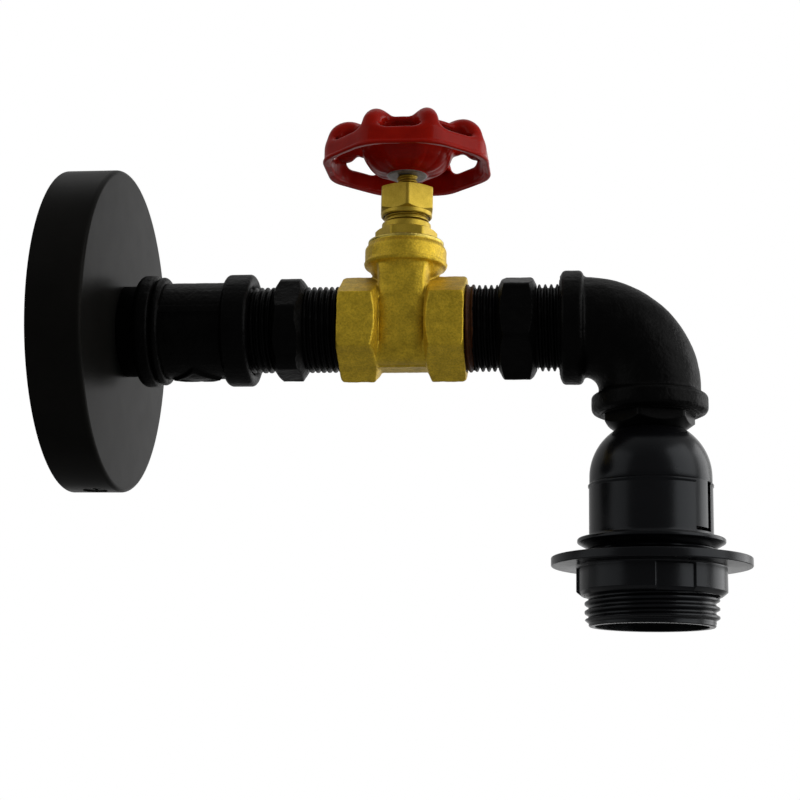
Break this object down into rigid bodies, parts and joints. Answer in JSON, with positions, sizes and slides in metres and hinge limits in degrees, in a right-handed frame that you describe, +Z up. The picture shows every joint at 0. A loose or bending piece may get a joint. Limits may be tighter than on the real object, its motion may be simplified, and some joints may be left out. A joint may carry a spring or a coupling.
{
  "type": "pipe wall light",
  "caption": "Wall light of threaded pipe fittings: round plate, coupling, hex nipples, brass gate valve with red handwheel, elbow and a black screw lampholder with shade ring.",
  "frame": {"origin": "on the wall plane, midway between the two wall screw slots and on the pipe's axis", "axes": "+X out from the wall along the pipe, +Z up along the valve stem, -Y towards the side shown in the picture"},
  "size_m": [0.207, 0.1, 0.1547],
  "materials": {
    "plate_paint": "satin black powder coat",
    "black_iron": "black painted malleable iron, slightly rough",
    "black_steel": "satin black",
    "zinc_steel": "zinc plated",
    "valve_brass": "satin cast brass",
    "turned_brass": "machined",
    "wheel_enamel": "glossy red enamel",
    "packing": "graphite packing",
    "sealant": "dried thread sealant",
    "holder_plastic": "glossy black thermoset",
    "insert_ceramic": "off-white ceramic",
    "block_plastic": "off-white",
    "live_insulation": "brown insulation",
    "neutral_insulation": "blue insulation",
    "earth_insulation": "green and yellow insulation"
  },
  "bodies": {
    "fixture": {"wall_plate": "plate_paint", "mounting_bracket": "zinc_steel", "side_screws": "black_steel", "earth_screw": "turned_brass", "earth_tag": "zinc_steel", "terminal_block": "block_plastic", "block_screws": "zinc_steel", "lock_nut": "zinc_steel", "plate_nipple": "black_steel", "coupling": "black_iron", "wall_hex_nipple": "black_iron", "valve_body": "valve_brass", "valve_bonnet": "turned_brass", "valve_packing": "packing", "gland_ring": "turned_brass", "packing_nut": "turned_brass", "thread_sealant": "sealant", "lamp_hex_nipple": "black_iron", "elbow": "black_iron", "hex_bush": "black_steel", "holder_nipple": "zinc_steel", "holder_cap": "holder_plastic", "holder_insert": "insert_ceramic", "terminal_screws": "turned_brass", "centre_contact": "turned_brass", "side_contact": "turned_brass", "holder_shell": "holder_plastic", "live_wire": "live_insulation", "neutral_wire": "neutral_insulation", "earth_wire": "earth_insulation"},
    "wheel": {"handwheel": "wheel_enamel", "valve_stem": "turned_brass", "wheel_washer": "zinc_steel", "wheel_nut": "turned_brass"},
    "ring": {"shade_ring": "holder_plastic"}
  },
  "joints": [
    {"name": "wheel_turn", "type": "hinge", "parent": "fixture", "child": "wheel", "pos_m": [0.1035, 0, 0.05], "axis": [0, 0, 1], "continuous": true},
    {"name": "ring_slide", "type": "slide", "parent": "fixture", "child": "ring", "axis": [0, 0, -1], "range_m": [-0.003, 0.008]}
  ]
}
